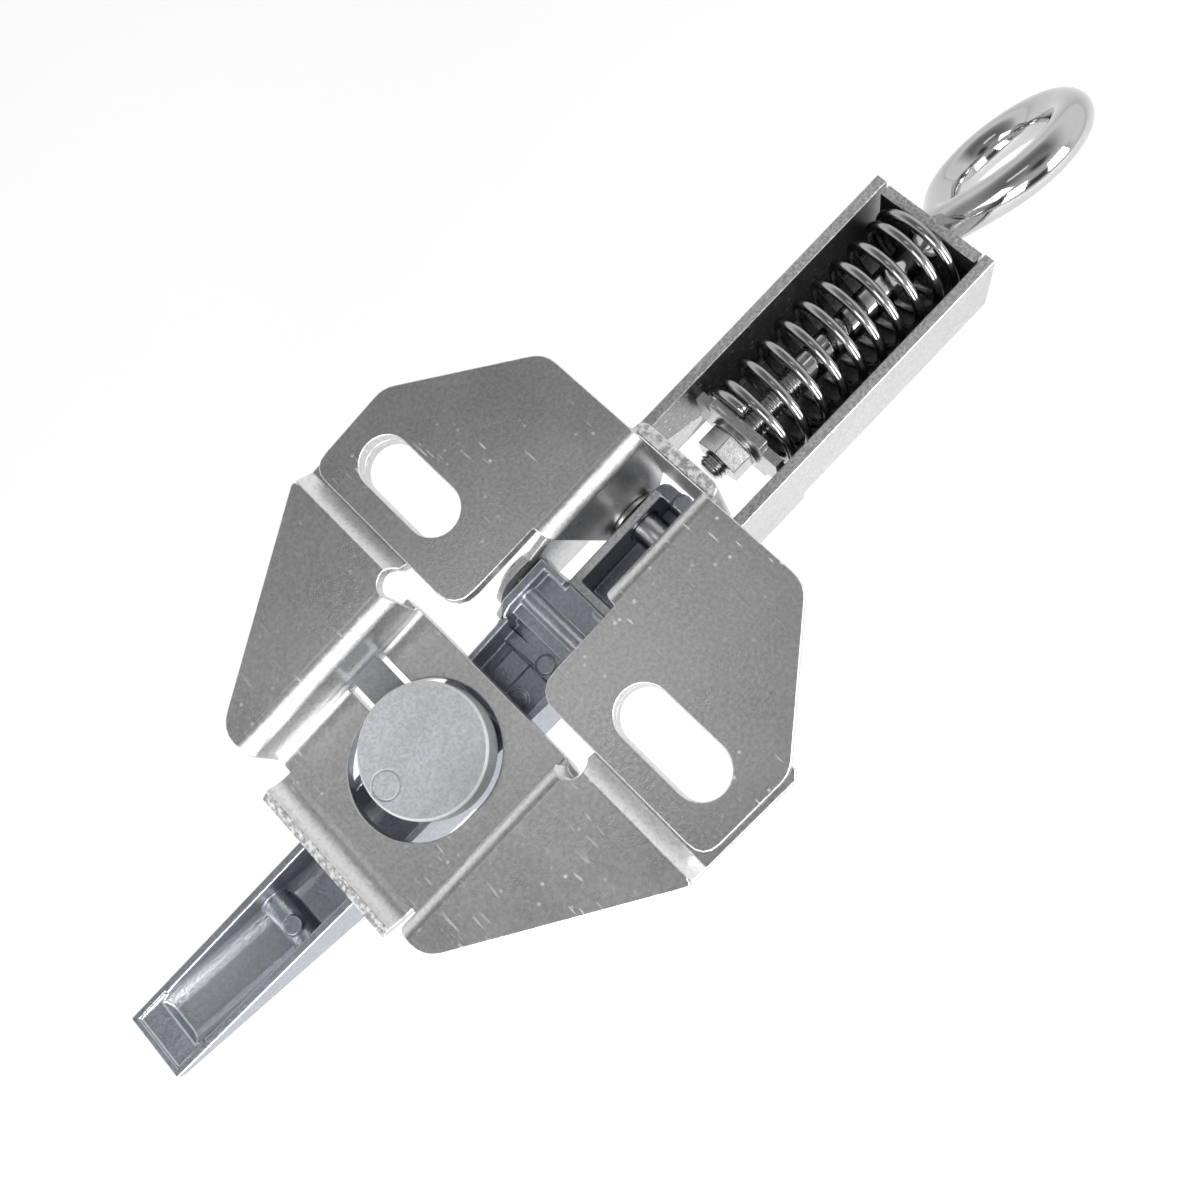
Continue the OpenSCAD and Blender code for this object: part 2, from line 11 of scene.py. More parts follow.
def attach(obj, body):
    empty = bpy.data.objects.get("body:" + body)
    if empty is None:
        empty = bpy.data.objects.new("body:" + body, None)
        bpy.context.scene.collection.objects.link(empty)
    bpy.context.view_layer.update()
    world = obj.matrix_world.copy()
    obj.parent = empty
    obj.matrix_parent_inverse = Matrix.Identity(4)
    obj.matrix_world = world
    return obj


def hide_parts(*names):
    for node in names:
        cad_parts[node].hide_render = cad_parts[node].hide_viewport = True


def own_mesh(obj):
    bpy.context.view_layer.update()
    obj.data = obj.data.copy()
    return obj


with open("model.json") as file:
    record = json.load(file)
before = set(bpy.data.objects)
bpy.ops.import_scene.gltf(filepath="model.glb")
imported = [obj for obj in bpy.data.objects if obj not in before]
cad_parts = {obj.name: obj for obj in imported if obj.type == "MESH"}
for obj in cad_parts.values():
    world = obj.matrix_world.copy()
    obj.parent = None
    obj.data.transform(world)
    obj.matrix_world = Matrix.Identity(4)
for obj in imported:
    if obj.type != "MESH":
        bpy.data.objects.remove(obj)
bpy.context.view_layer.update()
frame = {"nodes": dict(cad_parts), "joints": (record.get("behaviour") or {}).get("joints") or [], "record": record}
nodes = frame["nodes"]

MM = 0.001
JOINT = {joint["name"]: joint for joint in frame["joints"]}
SLOT = {part["node"]: part["material_slot"] for part in frame["record"]["subparts"]}

# Frame of the draw bar: origin on the crank pin, X along the bar
CRANK = Vector(JOINT["draw_swing"]["pos_m"])
DROOP = math.radians(2.2)
SHANK_Z = 4.05 * MM
BAR = Matrix.Translation(CRANK) @ Matrix.Rotation(DROOP, 4, "Y")
TO_BAR = BAR.inverted()
SHANK = BAR @ Matrix.Translation((0, 0, SHANK_Z))


def in_bar(point):
    """A place of the part, seen from the draw bar, both in millimetres."""
    return TO_BAR @ (point * MM) / MM


def on_shank(point):
    """A place given from the shank's axis in millimetres, in the part's frame and in metres."""
    return SHANK @ (point * MM)


# Node material helpers

class Nodes:
    """Short way to build a node tree: every call adds one node and links its inputs."""

    def __init__(self, tree):
        self.tree = tree
        tree.nodes.clear()

    def add(self, kind, inputs=None, **settings):
        node = self.tree.nodes.new(kind)
        for key, value in settings.items():
            setattr(node, key, value)
        for key, value in (inputs or {}).items():
            socket = node.inputs[key]
            if isinstance(value, bpy.types.NodeSocket):
                self.tree.links.new(value, socket)
            else:
                socket.default_value = value
        return node

    def math(self, operation, a, b):
        return self.add("ShaderNodeMath", {0: a, 1: b}, operation=operation).outputs[0]

    def times(self, a, b):
        return self.math("MULTIPLY", a, b)

    def larger(self, a, b):
        return self.math("MAXIMUM", a, b)

    def remap(self, value, low, high, to_low=0.0, to_high=1.0):
        return self.add("ShaderNodeMapRange", {"Value": value, "From Min": low, "From Max": high,
                                               "To Min": to_low, "To Max": to_high}).outputs[0]

    def noise(self, place, scale, detail=3.0, rough=0.55):
        return self.add("ShaderNodeTexNoise", {"Vector": place, "Scale": scale, "Detail": detail,
                                               "Roughness": rough}).outputs[0]

    def stretched(self, place, turn, scale):
        return self.add("ShaderNodeMapping", {"Vector": place, "Rotation": turn, "Scale": scale}).outputs[0]

    def mix(self, share, a, b):
        return self.add("ShaderNodeMix", {"Factor": share, "A": a, "B": b}, data_type="FLOAT").outputs[0]

    def colour(self, share, a, b):
        """Mixes two colours; a mix node has its colour sockets at these places."""
        return self.add("ShaderNodeMix", {0: share, 6: a, 7: b}, data_type="RGBA").outputs[2]


NO_TINT = (1.0, 1.0, 1.0)
ALLOY_TINT = (0.975, 1.0, 1.035)
# Bluish tint of the lever: painted shade of the recess below the plates
PAINTED_SHADE_TINT = (0.91, 0.97, 1.09)
BRASS_TINT = (0.95, 0.78, 0.42)

BUMP_DEPTH = 0.4 * MM
STREAK_WIDTH = 0.13
STREAK_EDGE = 0.05
# Near-white tone of painted highlights on bends, ramps and rounded edges
PAINTED_HIGHLIGHT_TONE = 0.95
# Light tone of scuffs, which are wear, and of specks, which are painted glints
WEAR_AND_GLINT_TONE = 0.98
WORN_ROUGH = 0.62

# Scuffs on sheet: direction in radians, fineness, and the noise level from which they show
SCUFFS = ((0.4, 1500.0, 0.73), (-1.0, 1300.0, 0.72), (2.0, 1400.0, 0.73))


def rgb(value, tint=NO_TINT):
    return (value * tint[0], value * tint[1], value * tint[2], 1.0)


def new_material(name):
    material = bpy.data.materials.new(name)
    material.use_nodes = True
    return material, Nodes(material.node_tree)


def finish_material(n, colour, roughness, height, bump, metallic):
    relief = n.add("ShaderNodeBump", {"Height": height, "Strength": bump, "Distance": BUMP_DEPTH})
    shader = n.add("ShaderNodeBsdfPrincipled", {"Base Color": colour, "Roughness": roughness,
                                                "Metallic": metallic, "Normal": relief.outputs[0]})
    n.add("ShaderNodeOutputMaterial", {"Surface": shader.outputs[0]})


def cloudy(n, cloud, base, tint=NO_TINT, darkest=0.92, lightest=1.08):
    """The base tone, drifting between a darker and a lighter share of itself."""
    return n.colour(n.remap(cloud, 0.3, 0.7), rgb(base * darkest, tint), rgb(base * lightest, tint))


def scratches(n, place, turn, scale, cut):
    """Short thin streaks: noise drawn out along one direction and cut to its peaks."""
    drawn_out = n.stretched(place, (0, 0, turn), (scale, scale * STREAK_WIDTH, scale))
    return n.remap(n.noise(drawn_out, scale=1.0, detail=1.0, rough=0.4), cut, cut + STREAK_EDGE)


def specks(n, place, scale, radius, mask):
    """Small round spots where the surface cuts random balls, kept only where the mask is high."""
    ball = n.add("ShaderNodeTexVoronoi", {"Vector": place, "Scale": scale, "Randomness": 1.0})
    spot = n.remap(ball.outputs["Distance"], radius, radius / 2)
    return n.times(spot, mask)


def tilted(n, coordinates):
    """High where the surface leans between flat and upright: bends, ramps and rounded edges; the mask of painted
    highlights.
    """
    up = n.add("ShaderNodeSeparateXYZ", {"Vector": coordinates.outputs["Normal"]}).outputs["Z"]
    off_flat = n.remap(up, 0.985, 0.90)
    off_upright = n.remap(up, 0.10, 0.35)
    return n.times(off_flat, off_upright)


# Finishes

def zinc_sheet(name, base, rough):
    """Zinc plating on pressed sheet: cloudy, with pits, short scuffs, specks lightened as painted glints, and
    bends lightened by their tilt as a painted highlight.
    """
    material, n = new_material(name)
    coordinates = n.add("ShaderNodeTexCoord")
    place = coordinates.outputs["Object"]
    cloud = n.noise(place, scale=55.0, detail=4.0)
    fine = n.noise(place, scale=1500.0, rough=0.65)
    grain = n.noise(place, scale=3000.0, detail=2.0)
    wear_and_glint_area = n.remap(n.noise(place, scale=48.0, detail=2.0), 0.42, 0.6)
    # Light specks are painted glints; the short scuffs below are real wear
    speck = specks(n, place, scale=430.0, radius=0.17, mask=wear_and_glint_area)
    pit = specks(n, place, scale=300.0, radius=0.11, mask=n.remap(cloud, 0.42, 0.6))
    scuff = 0.0
    for turn, scale, cut in SCUFFS:
        scuff = n.larger(scuff, scratches(n, place, turn, scale, cut))
    wear_and_glint = n.larger(n.times(scuff, wear_and_glint_area), speck)
    # Bends and ramps are lightened by their tilt: a painted highlight
    painted_bend_highlight = n.times(tilted(n, coordinates), n.remap(fine, 0.3, 0.55, 0.45, 0.85))

    tone = cloudy(n, cloud, base)
    darker = n.colour(0.16, tone, rgb(0.0))
    lighter = n.colour(0.14, tone, rgb(1.0))
    tone = n.colour(n.remap(fine, 0.35, 0.65), darker, lighter)
    tone = n.colour(painted_bend_highlight, tone, rgb(PAINTED_HIGHLIGHT_TONE))
    tone = n.colour(n.times(pit, 0.25), tone, rgb(base * 0.4))
    tone = n.colour(n.times(wear_and_glint, 0.85), tone, rgb(WEAR_AND_GLINT_TONE))
    roughness = n.remap(cloud, 0.25, 0.75, rough - 0.04, rough + 0.06)
    roughness = n.mix(n.larger(wear_and_glint, n.times(painted_bend_highlight, 0.5)), roughness, WORN_ROUGH)
    height = n.math("ADD", n.times(grain, 0.3), n.times(fine, 0.7))
    height = n.math("SUBTRACT", height, n.times(pit, 0.2))
    finish_material(n, tone, roughness, height, bump=0.10, metallic=0.95)
    return material


def grainy_edge_face(name, dark, light, scale):
    """Grainy face of an edge, coarse grain between two tones: torn on cut edges, and light as a painted highlight
    on the arm's upper edge.
    """
    material, n = new_material(name)
    place = n.add("ShaderNodeTexCoord").outputs["Object"]
    coarse = n.noise(place, scale, rough=0.6)
    patch = n.noise(place, scale=300.0, detail=2.0)
    tone = n.colour(n.remap(coarse, 0.42, 0.6), rgb(dark), rgb(light))
    tone = n.colour(n.remap(patch, 0.4, 0.7, 0.0, 0.5), tone, rgb((dark + light) / 2))
    roughness = n.remap(coarse, 0.35, 0.65, 0.55, 0.35)
    finish_material(n, tone, roughness, coarse, bump=0.6, metallic=0.55)
    return material


def die_cast(name, base, rough, metallic, tint=ALLOY_TINT, rim=0.0):
    """Grey die-casting with soft flow marks, a mottled skin, small pores, and tilted faces and rims lightened as a
    painted highlight.
    """
    material, n = new_material(name)
    coordinates = n.add("ShaderNodeTexCoord")
    place = coordinates.outputs["Object"]
    flow = n.noise(n.stretched(place, (0, 0, 0.2), (70.0, 150.0, 110.0)), scale=1.0, detail=4.0)
    mottle = n.noise(place, scale=850.0, detail=4.0, rough=0.65)
    grain = n.noise(place, scale=1700.0, rough=0.6)
    pore = specks(n, place, scale=380.0, radius=0.12, mask=n.remap(flow, 0.45, 0.6))

    tone = cloudy(n, flow, base, tint)
    tone = n.colour(n.remap(mottle, 0.38, 0.64, 0.0, 0.4), tone, rgb(base * 1.4, tint))
    tone = n.colour(n.remap(grain, 0.42, 0.6, 0.0, 0.5), tone, rgb(base * 0.6, tint))
    tone = n.colour(n.times(pore, 0.4), tone, rgb(base * 0.5, tint))
    # Tilted faces and rims are lightened by their tilt: a painted highlight
    tone = n.colour(n.times(tilted(n, coordinates), rim), tone, rgb(PAINTED_HIGHLIGHT_TONE))
    roughness = n.remap(flow, 0.3, 0.7, rough - 0.05, rough + 0.08)
    height = n.math("ADD", n.times(grain, 0.4), n.times(mottle, 0.6))
    finish_material(n, tone, roughness, height, bump=0.35, metallic=metallic)
    return material


def bright_metal(name, base, rough, tint=NO_TINT):
    """Smooth plated metal, a little cloudy, with small dull marks."""
    material, n = new_material(name)
    place = n.add("ShaderNodeTexCoord").outputs["Object"]
    cloud = n.noise(place, scale=140.0)
    fine = n.noise(place, scale=1600.0, detail=2.0)
    mark = n.remap(n.noise(place, scale=500.0, detail=1.0, rough=0.4), 0.70, 0.76)
    tone = cloudy(n, cloud, base, tint, darkest=0.93, lightest=1.06)
    tone = n.colour(n.times(mark, 0.5), tone, rgb(base * 0.55, tint))
    roughness = n.remap(fine, 0.3, 0.7, rough - 0.04, rough + 0.06)
    finish_material(n, tone, roughness, fine, bump=0.012, metallic=1.0)
    return material


# Finish of each material slot of the record
FINISH = {
    "zinc_sheet": zinc_sheet("zinc_sheet", base=0.60, rough=0.28),
    # The rim share lightens tilted faces and rims: a painted highlight
    "cast_zinc": die_cast("cast_zinc", base=0.56, rough=0.5, metallic=0.2, rim=0.7),
    "bright_wire": bright_metal("bright_wire", base=0.55, rough=0.08),
    "bright_steel": bright_metal("bright_steel", base=0.58, rough=0.2),
    "spring_steel": bright_metal("spring_steel", base=0.30, rough=0.32),
    "brass": bright_metal("brass", base=0.8, rough=0.28, tint=BRASS_TINT),
}

# Finishes of single pieces and faces
# Darker, bluish copy of the cast finish for the lever: painted shade of the recess; its tilted faces get a painted
# highlight
LEVER_CAST_PAINTED_SHADE = die_cast("lever_cast_painted_shade", base=0.42, rough=0.30, metallic=0.85, tint=PAINTED_SHADE_TINT, rim=0.45)
TONGUE_STEEL = die_cast("tongue_steel", base=0.34, rough=0.42, metallic=0.7)
SPRING_WIRE = bright_metal("spring_wire", base=0.40, rough=0.12)
# Darker copy of the plating for the channel's inner faces: painted shade
PAINTED_SHADE_SHEET = zinc_sheet("painted_shade_sheet", base=0.24, rough=0.3)
SHEARED = grainy_edge_face("sheared_edge", dark=0.34, light=0.97, scale=1100.0)
CUT_RIM = grainy_edge_face("cut_rim", dark=0.30, light=0.52, scale=1900.0)
# Light grainy face for the arm's upper edge: a painted highlight
ARM_RIM_HIGHLIGHT = grainy_edge_face("arm_rim_painted_highlight", dark=0.72, light=0.95, scale=1500.0)


# Soft edges of the CAD solids

# Edge width and weld distance in millimetres; the other nodes take a fine edge
EDGE = {
    "hinge_plate": (0.3, 0.12),
    "pocket_plate": (0.3, 0.01),
    "handle": (0.38, 0.12),
    "lock_cam": (0.06, 0.01),
}
FINE_EDGE = (0.12, 0.01)
EDGE_SEGMENTS = 3
EDGE_ANGLE = math.radians(38)
PLANE_ANGLE = math.radians(0.6)
FLAT_FACE_WEIGHT = 60

# Open rim of the draw channel, in the draw bar's frame and in millimetres
CHANNEL_TOP = 10.5
CHANNEL_RIM_DEPTH = 0.6
CHANNEL_RIM_EDGE = 0.25


def dress(obj, material):
    obj.data.materials.clear()
    obj.data.materials.append(material)


def soften(obj, width, merge):
    """Rounds the sharp edges a little so that they catch the light, and keeps flat faces flat."""
    normals = obj.data.attributes.get("custom_normal")
    if normals:
        obj.data.attributes.remove(normals)
    obj.data.polygons.foreach_set("use_smooth", [True] * len(obj.data.polygons))
    weld = obj.modifiers.new("weld", "WELD")
    weld.merge_threshold = merge * MM
    plane = obj.modifiers.new("plane", "DECIMATE")
    plane.decimate_type = "DISSOLVE"
    plane.angle_limit = PLANE_ANGLE
    plane.delimit = {"MATERIAL"}
    bevel = obj.modifiers.new("bevel", "BEVEL")
    bevel.width = width * MM
    bevel.segments = EDGE_SEGMENTS
    bevel.limit_method = "ANGLE"
    bevel.angle_limit = EDGE_ANGLE
    bevel.use_clamp_overlap = False
    bevel.loop_slide = False
    flat = obj.modifiers.new("flat", "WEIGHTED_NORMAL")
    flat.keep_sharp = True
    flat.weight = FLAT_FACE_WEIGHT


def mark_open_edges(obj, test):
    """Marks edges that one face alone uses and whose ends pass the test, for a bevel by weight."""
    uses = {}
    for face in obj.data.polygons:
        for key in face.edge_keys:
            uses[key] = uses.get(key, 0) + 1
    weight = obj.data.attributes.new("bevel_weight_edge", "FLOAT", "EDGE")
    for edge in obj.data.edges:
        ends = [obj.data.vertices[i].co / MM for i in edge.vertices]
        if uses.get(tuple(sorted(edge.vertices))) == 1 and all(test(p) for p in ends):
            weight.data[edge.index].value = 1.0


def at_channel_top(point):
    return in_bar(point).z > CHANNEL_TOP - CHANNEL_RIM_DEPTH


for name, obj in nodes.items():
    dress(obj, FINISH[SLOT[name]])
    soften(obj, *EDGE.get(name, FINE_EDGE))
# The lever takes the darker, bluish finish: painted shade
dress(nodes["handle"], LEVER_CAST_PAINTED_SHADE)

# The plug's narrow parts need a bevel that stops before it overlaps
nodes["lock_plug"].modifiers["bevel"].use_clamp_overlap = True

# The channel is rounded along its rim only
mark_open_edges(nodes["draw_channel"], at_channel_top)
channel_bevel = nodes["draw_channel"].modifiers["bevel"]
channel_bevel.limit_method = "WEIGHT"
channel_bevel.width = CHANNEL_RIM_EDGE * MM


# Finishes of single faces, found by their centre in millimetres and their normal

# A face looks in a direction if its normal has at least this share of it
FACING = 0.9
LIP_X = -51.0
LIP_NORMAL = (-0.4, 0.7)
TROUGH_FRONT_X = 29.8
TROUGH_EDGE_Z = (-1.2, -0.3)
SHADED_FROM_X = 40.0
ARM_X = (6.0, 26.5)
ARM_TOP = -18.7
ARM_TOP_SLACK = 0.2
TONGUE_Y = 10.6
TONGUE_Z = (-10.4, -8.4)


def finish_faces(node, material, test):
    """Gives the faces of a node that pass the test a finish of their own."""
    mesh = nodes[node].data
    mesh.materials.append(material)
    slot = len(mesh.materials) - 1
    for face in mesh.polygons:
        if test(face.center / MM, face.normal):
            face.material_index = slot


def on_lip_edge(c, n):
    """Leaning end of the lip that is turned up from the pocket."""
    return c.x < LIP_X and n.x < LIP_NORMAL[0] and n.z > LIP_NORMAL[1]


def on_trough_edge(c, n):
    """Upper edge of the trough's front wall."""
    return c.x > TROUGH_FRONT_X and n.z > FACING and TROUGH_EDGE_Z[0] < c.z < TROUGH_EDGE_Z[1]


def on_channel_rim(c, n):
    return n.z > FACING and at_channel_top(c)


def inside_channel(c, n):
    """Walls and floor that face the spring; they take a darker sheet as painted shade."""
    local = in_bar(c)
    to_middle = local.y * n.y < -0.5
    inwards = n.z > FACING or to_middle or n.x < -FACING
    return inwards and local.x > SHADED_FROM_X and local.z < CHANNEL_TOP - CHANNEL_RIM_DEPTH


def on_arm_rim(c, n):
    """Upper edge of the arm that runs to the fixed pivot."""
    return ARM_X[0] < c.x < ARM_X[1] and n.z > FACING and abs(c.z - ARM_TOP) < ARM_TOP_SLACK


def on_tongue(c, n):
    """The tongue, apart from the drum that carries it."""
    return c.y > TONGUE_Y and TONGUE_Z[0] < c.z < TONGUE_Z[1]


finish_faces("pocket_plate", SHEARED, on_lip_edge)
finish_faces("hinge_plate", SHEARED, on_trough_edge)
finish_faces("draw_channel", CUT_RIM, on_channel_rim)
# The channel's inner faces take the darker sheet: painted shade
finish_faces("draw_channel", PAINTED_SHADE_SHEET, inside_channel)
# The arm's upper edge takes a light face: a painted highlight
finish_faces("handle", ARM_RIM_HIGHLIGHT, on_arm_rim)
finish_faces("lock_cam", TONGUE_STEEL, on_tongue)


# Fine shapes that stand for plain CAD solids

def new_piece(name, body, node, material, mesh):
    obj = bpy.data.objects.new(name, mesh)
    bpy.context.scene.collection.objects.link(obj)
    mesh.materials.append(material)
    mesh.polygons.foreach_set("use_smooth", [True] * len(mesh.polygons))
    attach(obj, body)
    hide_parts(node)
    return obj


def new_mesh(name, points, faces):
    mesh = bpy.data.meshes.new(name)
    mesh.from_pydata(points, [], faces)
    mesh.update()
    return mesh


def tube_mesh(name, path, radii, sides, closed=False):
    """A round tube along a list of points, with a radius at each."""
    count = len(path)
    points, faces = [], []
    side = None
    for i, p in enumerate(path):
        ahead = path[(i + 1) % count] if closed or i + 1 < count else path[i]
        behind = path[i - 1] if closed or i else path[i]
        along = (ahead - behind).normalized()
        if side is None:
            side = along.orthogonal().normalized()
        side = (side - along * side.dot(along)).normalized()
        up = along.cross(side)
        for k in range(sides):
            a = 2 * math.pi * k / sides
            points.append(p + (side * math.cos(a) + up * math.sin(a)) * radii[i])
    for i in range(count if closed else count - 1):
        for k in range(sides):
            a, b = i * sides, (i + 1) % count * sides
            faces.append((a + k, a + (k + 1) % sides, b + (k + 1) % sides, b + k))
    if not closed:
        faces.append(tuple(range(sides - 1, -1, -1)))
        faces.append(tuple(range((count - 1) * sides, count * sides)))
    return new_mesh(name, points, faces)


# Draw spring, in millimetres along the shank: closed end turns, the others evenly spaced

SPRING = {"x0": 42.0, "x1": 85.0, "r": 9.2, "wire": 1.8, "turns": 10.5}
END_PITCH = SPRING["wire"] * 1.06
STEPS_PER_TURN = 40
SPRING_SIDES = 14


def coil_x(turn):
    """How far along the shank the wire's middle lies after so many turns."""
    first = SPRING["x0"] + SPRING["wire"] / 2
    last = SPRING["x1"] - SPRING["wire"] / 2
    turns = SPRING["turns"]
    if turn < 1:
        return first + END_PITCH * turn
    if turn > turns - 1:
        return last - END_PITCH * (turns - turn)
    return first + END_PITCH + (last - first - 2 * END_PITCH) * (turn - 1) / (turns - 2)


def spring_path():
    steps = int(SPRING["turns"] * STEPS_PER_TURN)
    mean = SPRING["r"] - SPRING["wire"] / 2
    for i in range(steps + 1):
        turn = SPRING["turns"] * i / steps
        a = 2 * math.pi * turn
        yield on_shank(Vector((coil_x(turn), mean * math.sin(a), mean * math.cos(a))))


def spring_mesh(name):
    path = list(spring_path())
    return tube_mesh(name, path, [SPRING["wire"] / 2 * MM] * len(path), SPRING_SIDES)


spring = new_piece("spring_coil", "draw", "draw_spring", SPRING_WIRE, spring_mesh("spring_coil"))
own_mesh(spring)


# Eye bolt, in millimetres along the shank: cut thread, plain shank, ring

THREAD = {"r": 2.5, "root": 2.05, "pitch": 0.8, "x0": 33.2, "x1": 55.0, "tip_r": 1.7, "tip_slope": 0.9}
THREAD_SIDES = 32
ROWS_PER_PITCH = 8
FLANK_STEEPNESS = 1.25

EYE = {"neck": 89.0, "reach": 15.6, "r": 11.9, "wire": 6.6, "shank": 2.9, "turn": -52.0}
EYE_SIDES = 40
ARC_STEPS = 110
LIMB_STEPS = 20
EASING_PASSES = 30

# The plain shank starts inside the thread's end, thickens at once and ends inside the neck
SHANK_START = 54.0
SHANK_FULL = 54.6
SHANK_MIDDLE = 70.0
SHANK_END = EYE["neck"] + 1.5


def thread_radius(x, turn):
    """Radius of the thread at a place along it and a share of a turn, with a chamfer at the free end."""
    run = x - THREAD["x0"]
    phase = (run / THREAD["pitch"] + turn) % 1.0
    crest = 1 - abs(2 * phase - 1)
    radius = THREAD["root"] + (THREAD["r"] - THREAD["root"]) * min(1.0, crest * FLANK_STEEPNESS)
    return min(radius, THREAD["tip_r"] + run * THREAD["tip_slope"])


def thread_mesh(name):
    """A screw thread as one skin."""
    sides = THREAD_SIDES
    length = THREAD["x1"] - THREAD["x0"]
    rows = int(length / THREAD["pitch"] * ROWS_PER_PITCH)
    points, faces = [], []
    for i in range(rows + 1):
        x = THREAD["x0"] + length * i / rows
        for k in range(sides):
            a = 2 * math.pi * k / sides
            radius = thread_radius(x, k / sides)
            points.append(on_shank(Vector((x, radius * math.cos(a), radius * math.sin(a)))))
    for i in range(rows):
        for k in range(sides):
            a, b = i * sides, (i + 1) * sides
            faces.append((a + k, b + k, b + (k + 1) % sides, a + (k + 1) % sides))
    faces.append(tuple(range(sides)))
    faces.append(tuple(range((rows + 1) * sides - 1, rows * sides - 1, -1)))
    return new_mesh(name, points, faces)


def eye_loop():
    """Middle line of the eye: round at the far end, two straight limbs to the neck, the neck eased."""
    half = math.acos(EYE["r"] / EYE["reach"])
    centre = Vector((EYE["neck"] + EYE["reach"], 0, 0))
    neck = Vector((EYE["neck"], 0, 0))
    arc = []
    for i in range(ARC_STEPS + 1):
        a = -(math.pi - half) + 2 * (math.pi - half) * i / ARC_STEPS
        arc.append(centre + Vector((math.cos(a), math.sin(a), 0)) * EYE["r"])
    line = [neck.lerp(arc[0], i / LIMB_STEPS) for i in range(LIMB_STEPS)] + arc
    line += [arc[-1].lerp(neck, i / LIMB_STEPS) for i in range(1, LIMB_STEPS)]
    for _ in range(EASING_PASSES):
        line = [(line[i - 1] + line[i] * 2 + line[(i + 1) % len(line)]) / 4 for i in range(len(line))]
    return line


def eye_mesh(name):
    """Plain shank and bent loop in one mesh."""
    turn = Matrix.Rotation(math.radians(EYE["turn"]), 4, "X")
    loop = [on_shank(turn @ p) for p in eye_loop()]
    shank_x = (SHANK_START, SHANK_FULL, SHANK_MIDDLE, SHANK_END)
    shank_r = (THREAD["r"], EYE["shank"], EYE["shank"], EYE["shank"])
    straight = [on_shank(turn @ Vector((x, 0, 0))) for x in shank_x]
    mesh = tube_mesh(name, loop, [EYE["wire"] / 2 * MM] * len(loop), EYE_SIDES, closed=True)
    bar = tube_mesh(name, straight, [radius * MM for radius in shank_r], EYE_SIDES)
    both = bmesh.new()
    both.from_mesh(mesh)
    both.from_mesh(bar)
    both.to_mesh(mesh)
    both.free()
    bpy.data.meshes.remove(bar)
    return mesh


new_piece("eye_wire", "eye", "eye_bolt", FINISH["bright_wire"], eye_mesh("eye_wire"))
new_piece("eye_thread", "eye", "eye_bolt", FINISH["bright_steel"], thread_mesh("eye_thread"))


# Floor, light and camera, in metres

# The part hangs from its mounting slots, and the floor lies below the thrown lever
FLOOR_Z = -0.145
FLOOR_SIZE = 12.0
FLOOR_TONE = 0.55
FLOOR_GLOW = 0.52

# Tones of the studio by the height of the direction looked in: (height, tone)
PALE_WALL = ((0.0, 0.95), (0.3, 0.9), (0.5, 0.42), (0.7, 0.24), (0.86, 0.2), (1.0, 0.3))
DARK_WALL = ((0.0, 0.5), (0.08, 0.1), (0.4, 0.05), (0.56, 0.6), (0.8, 0.62), (1.0, 0.5))
END_WALL_TONE = 0.95
HOOD_TOWARDS = (0.03, -0.30, 0.95)
HOOD_EDGE = (0.12, 0.34)
HOOD_TONE = 0.07

PART_MIDDLE = (0, 0, 0)
ABOVE_MIDDLE = (0, 0, 0.02)


def make_floor():
    """White floor that keeps the cast shadow and is clear from below."""
    bpy.ops.mesh.primitive_plane_add(size=FLOOR_SIZE, location=(0, 0, FLOOR_Z))
    floor = bpy.context.object
    floor.name = "floor"
    material, n = new_material("floor")
    path = n.add("ShaderNodeLightPath")
    seen = n.larger(path.outputs["Is Camera Ray"], path.outputs["Is Glossy Ray"])
    seen = n.larger(seen, path.outputs["Is Transmission Ray"])
    matt = n.add("ShaderNodeBsdfDiffuse", {"Color": rgb(FLOOR_TONE)})
    white = n.add("ShaderNodeEmission", {"Color": rgb(1.0), "Strength": n.times(seen, FLOOR_GLOW)})
    both = n.add("ShaderNodeAddShader", {0: matt.outputs[0], 1: white.outputs[0]})
    clear = n.add("ShaderNodeBsdfTransparent")
    under = n.add("ShaderNodeNewGeometry").outputs["Backfacing"]
    sheet = n.add("ShaderNodeMixShader", {0: under, 1: both.outputs[0], 2: clear.outputs[0]})
    n.add("ShaderNodeOutputMaterial", {"Surface": sheet.outputs[0]})
    floor.data.materials.append(material)


def grey_ramp(n, value, steps):
    """Grey tones by value: steps are (place, tone)."""
    ramp = n.add("ShaderNodeValToRGB", {"Fac": value})
    stops = ramp.color_ramp.elements
    for stop, (place, tone) in zip((stops[0], stops[1]), (steps[0], steps[-1])):
        stop.position = place
        stop.color = rgb(tone)
    for place, tone in steps[1:-1]:
        stops.new(place).color = rgb(tone)
    return ramp.outputs[0]


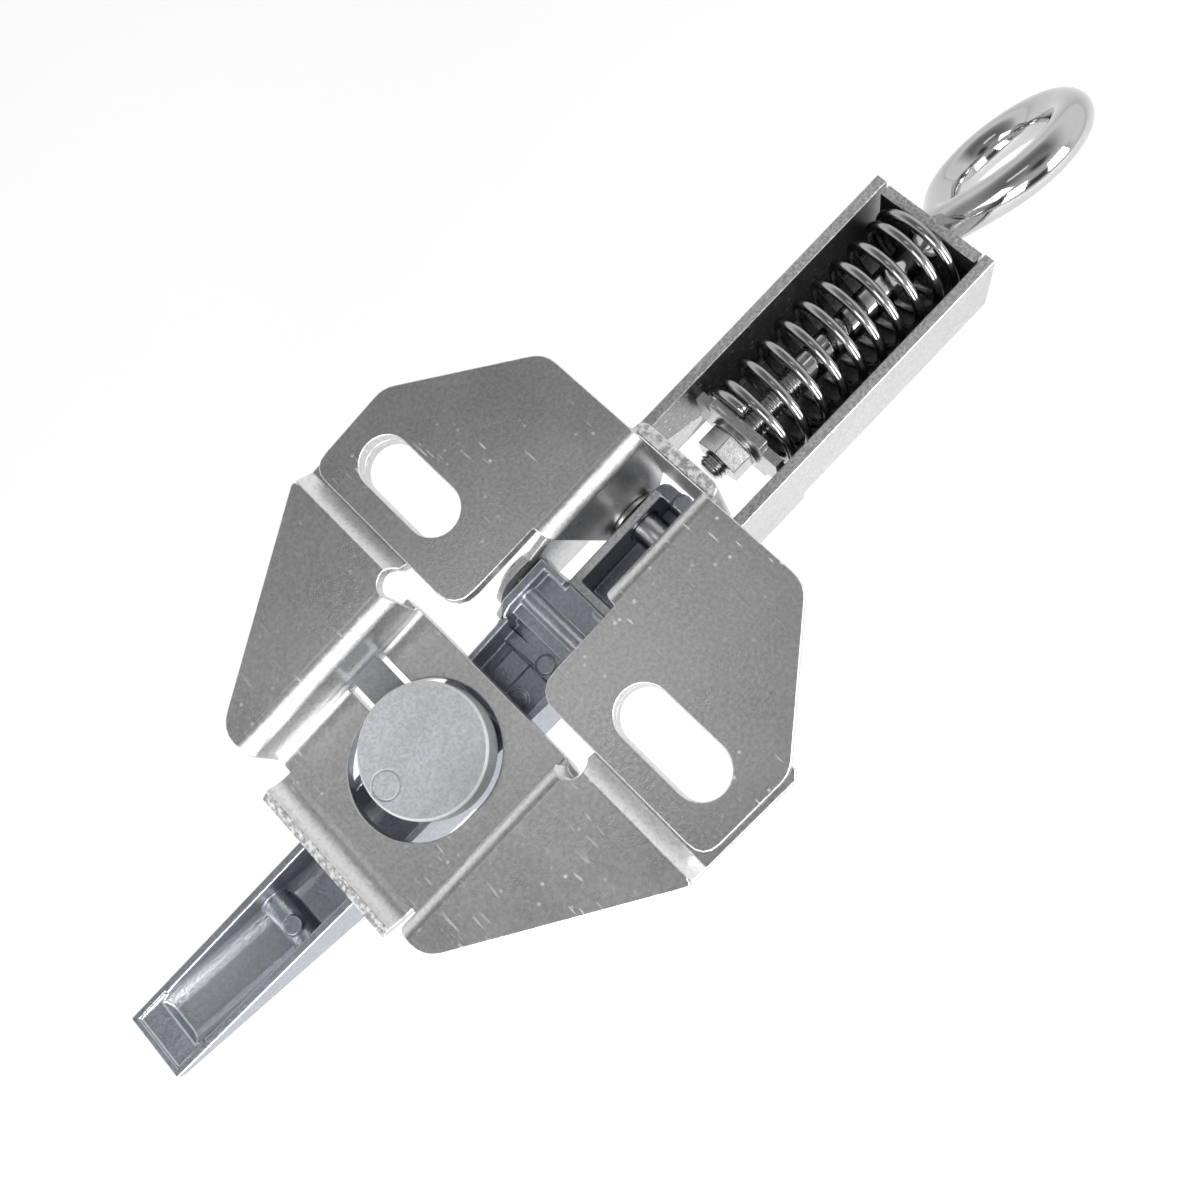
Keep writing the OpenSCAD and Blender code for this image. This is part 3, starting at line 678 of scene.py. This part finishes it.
def make_world():
    """A plain studio: pale walls, dark behind the lamps, bright past the eye, and a dark hood above."""
    world = bpy.data.worlds.new("studio")
    bpy.context.scene.world = world
    world.use_nodes = True
    n = Nodes(world.node_tree)
    direction = n.add("ShaderNodeTexCoord").outputs["Generated"]
    towards = n.add("ShaderNodeSeparateXYZ", {"Vector": direction})
    pale = grey_ramp(n, towards.outputs["Z"], PALE_WALL)
    dark = grey_ramp(n, towards.outputs["Z"], DARK_WALL)
    lamp_side = n.remap(towards.outputs["Y"], 0.1, -0.5)
    eye_side = n.remap(towards.outputs["X"], 0.4, 0.75)
    off_hood = n.add("ShaderNodeVectorMath", {0: direction, 1: HOOD_TOWARDS}, operation="DISTANCE")
    outside_hood = n.remap(off_hood.outputs["Value"], *HOOD_EDGE)
    walls = n.colour(lamp_side, pale, dark)
    walls = n.colour(eye_side, walls, rgb(END_WALL_TONE))
    walls = n.colour(outside_hood, rgb(HOOD_TONE), walls)
    back = n.add("ShaderNodeBackground", {"Color": walls, "Strength": 1.0})
    n.add("ShaderNodeOutputWorld", {"Surface": back.outputs[0]})


def area_lamp(name, place, target, size, power, along=(1, 0, 0)):
    """A soft box that faces the target, its width lying along the given direction."""
    data = bpy.data.lights.new(name, "AREA")
    data.shape = "RECTANGLE"
    data.size, data.size_y = size
    data.energy = power
    lamp = bpy.data.objects.new(name, data)
    lamp.visible_camera = False
    back = (Vector(place) - Vector(target)).normalized()
    across = (Vector(along) - back * back.dot(Vector(along))).normalized()
    turn = Matrix((across, back.cross(across), back)).transposed().to_4x4()
    lamp.matrix_world = Matrix.Translation(place) @ turn
    bpy.context.scene.collection.objects.link(lamp)


def make_camera():
    """The camera that was fitted to the photo's slots and straight edges."""
    data = bpy.data.cameras.new("camera")
    data.sensor_width = 36.0
    data.lens = 36.0
    data.clip_start = 0.005
    data.clip_end = 20.0
    camera = bpy.data.objects.new("camera", data)
    place = Vector((0.012396, -0.057634, 0.172076))
    right = Vector((0.68275, -0.69536, -0.22433))
    up = Vector((0.73018, 0.66034, 0.17547))
    back = Vector((0.02612, -0.28361, 0.95858))
    turn = Matrix((right, up, back)).transposed().to_4x4()
    camera.matrix_world = Matrix.Translation(place) @ turn
    bpy.context.scene.collection.objects.link(camera)
    bpy.context.scene.camera = camera


make_floor()
make_world()
area_lamp("left_box", place=(-0.36, -0.60, 0.26), target=ABOVE_MIDDLE, size=(0.36, 0.50), power=3.6)
area_lamp("right_box", place=(0.36, -0.62, 0.26), target=ABOVE_MIDDLE, size=(0.36, 0.50), power=3.6)
area_lamp("back_box", place=(-0.62, -0.15, 0.55), target=PART_MIDDLE, size=(0.40, 0.40), power=2.0,
          along=(0, 1, 0))
area_lamp("strip_box", place=(-0.14, 0.27, 0.95), target=PART_MIDDLE, size=(0.42, 0.15), power=0.19,
          along=(0.888, -0.46, 0))
make_camera()
bpy.context.scene.view_settings.view_transform = "Standard"
